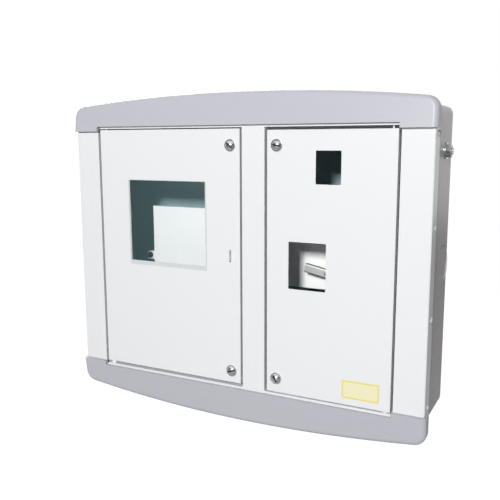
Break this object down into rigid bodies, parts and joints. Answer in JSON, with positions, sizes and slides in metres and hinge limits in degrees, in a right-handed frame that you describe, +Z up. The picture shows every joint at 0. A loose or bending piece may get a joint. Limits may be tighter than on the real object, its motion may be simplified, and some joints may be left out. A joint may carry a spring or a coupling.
{
  "type": "electric meter box",
  "caption": "White steel wall box for an electricity meter with a window door, a switch door with cut-outs, quarter-turn fasteners and arched plastic caps above and below.",
  "frame": {"origin": "on the back face, at the centre of the four wall holes", "axes": "+X to the viewer's right across the doors, +Y from the doors into the wall, +Z up"},
  "size_m": [0.576, 0.134, 0.487],
  "materials": {
    "white_paint": "smooth powder coat",
    "grey_paint": "fine powder coat",
    "plate_paint": "smooth powder coat",
    "cap_plastic": "fine moulded grain",
    "zinc": "zinc plated",
    "chrome": "bright plated",
    "black_steel": "blackened",
    "tinned_brass": "tinned",
    "insulator": "moulded",
    "nylon": "moulded",
    "seal_foam": "closed-cell foam",
    "grey_rubber": "matt",
    "clear_pane": "clear sheet"
  },
  "bodies": {
    "enclosure": {"back_box": "grey_paint", "front_frame": "white_paint", "frame_screws": "white_paint", "top_cap": "cap_plastic", "bottom_cap": "cap_plastic", "cap_push_nuts": "zinc", "left_hinge_pins": "zinc", "right_hinge_pins": "zinc", "hinge_spacers": "nylon", "fastener_receptacles": "zinc", "receptacle_rivets": "zinc", "seal_tongue": "white_paint", "meter_plate": "plate_paint", "meter_plate_posts": "zinc", "meter_plate_screws": "black_steel", "device_plate": "plate_paint", "device_plate_posts": "zinc", "device_plate_screws": "zinc", "earth_bar": "tinned_brass", "earth_bar_posts": "insulator", "earth_bar_screws": "zinc", "earth_bolt": "zinc", "earth_washer": "zinc", "earth_nut": "zinc"},
    "window_door": {"left_door": "white_paint", "left_door_seal": "seal_foam", "window_gasket": "grey_rubber", "window_pane": "clear_pane", "window_retainer": "zinc", "window_studs": "zinc", "window_nuts": "zinc"},
    "switch_door": {"right_door": "white_paint", "right_door_seal": "seal_foam"},
    "left_upper_turn": {"left_upper_fastener": "chrome", "left_upper_ring": "zinc"},
    "left_lower_turn": {"left_lower_fastener": "chrome", "left_lower_ring": "zinc"},
    "right_upper_turn": {"right_upper_fastener": "chrome", "right_upper_ring": "zinc"},
    "right_lower_turn": {"right_lower_fastener": "chrome", "right_lower_ring": "zinc"}
  },
  "joints": [
    {"name": "window_door_hinge", "type": "hinge", "parent": "enclosure", "child": "window_door", "pos_m": [-0.2294, -0.122, 0], "axis": [0, 0, -1], "range_deg": [0, 100]},
    {"name": "switch_door_hinge", "type": "hinge", "parent": "enclosure", "child": "switch_door", "pos_m": [0.2294, -0.122, 0], "axis": [0, 0, 1], "range_deg": [0, 100]},
    {"name": "left_upper_turn_joint", "type": "hinge", "parent": "window_door", "child": "left_upper_turn", "pos_m": [-0.004, -0.128, 0.1655], "axis": [0, -1, 0], "range_deg": [0, 90]},
    {"name": "left_lower_turn_joint", "type": "hinge", "parent": "window_door", "child": "left_lower_turn", "pos_m": [-0.004, -0.128, -0.1681], "axis": [0, -1, 0], "range_deg": [0, 90]},
    {"name": "right_upper_turn_joint", "type": "hinge", "parent": "switch_door", "child": "right_upper_turn", "pos_m": [0.0691, -0.128, 0.1655], "axis": [0, -1, 0], "range_deg": [0, 90]},
    {"name": "right_lower_turn_joint", "type": "hinge", "parent": "switch_door", "child": "right_lower_turn", "pos_m": [0.0691, -0.128, -0.1681], "axis": [0, -1, 0], "range_deg": [0, 90]}
  ]
}
